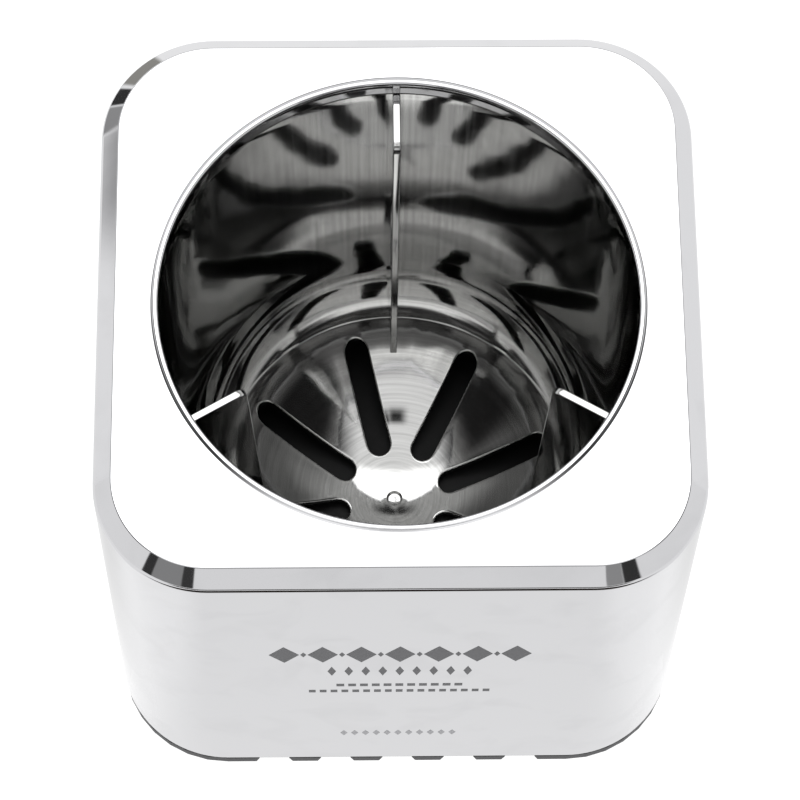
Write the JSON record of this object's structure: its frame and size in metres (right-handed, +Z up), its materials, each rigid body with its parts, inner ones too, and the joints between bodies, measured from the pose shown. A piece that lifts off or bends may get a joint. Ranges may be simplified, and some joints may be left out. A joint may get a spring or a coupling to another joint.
{
  "type": "toilet brush holder",
  "caption": "Square chrome-plated toilet brush holder with a round opening, a ribbed cup with a slotted bowl-shaped floor, and a drip tray on low feet.",
  "frame": {"origin": "middle of the underside, on the surface that the holder stands on", "axes": "+Z up through the round opening, -Y towards the front, +X to the right"},
  "size_m": [0.1122, 0.1122, 0.106],
  "materials": {
    "plated_shell": "bright chrome plating on moulded ABS, mirror polished",
    "plated_cup": "bright chrome plating on moulded ABS, with fine draw lines",
    "tray_plastic": "matte",
    "screw_steel": "zinc plated, satin"
  },
  "bodies": {
    "drip_tray": {"base_tray": "tray_plastic"},
    "holder": {"outer_shell": "plated_shell", "inner_cup": "plated_cup", "cup_screw_1": "screw_steel", "cup_screw_2": "screw_steel", "cup_screw_3": "screw_steel", "cup_screw_4": "screw_steel"}
  },
  "joints": [
    {"name": "lift_off", "type": "slide", "parent": "drip_tray", "child": "holder", "axis": [0, 0, 1], "range_m": [0, 0.12]}
  ]
}
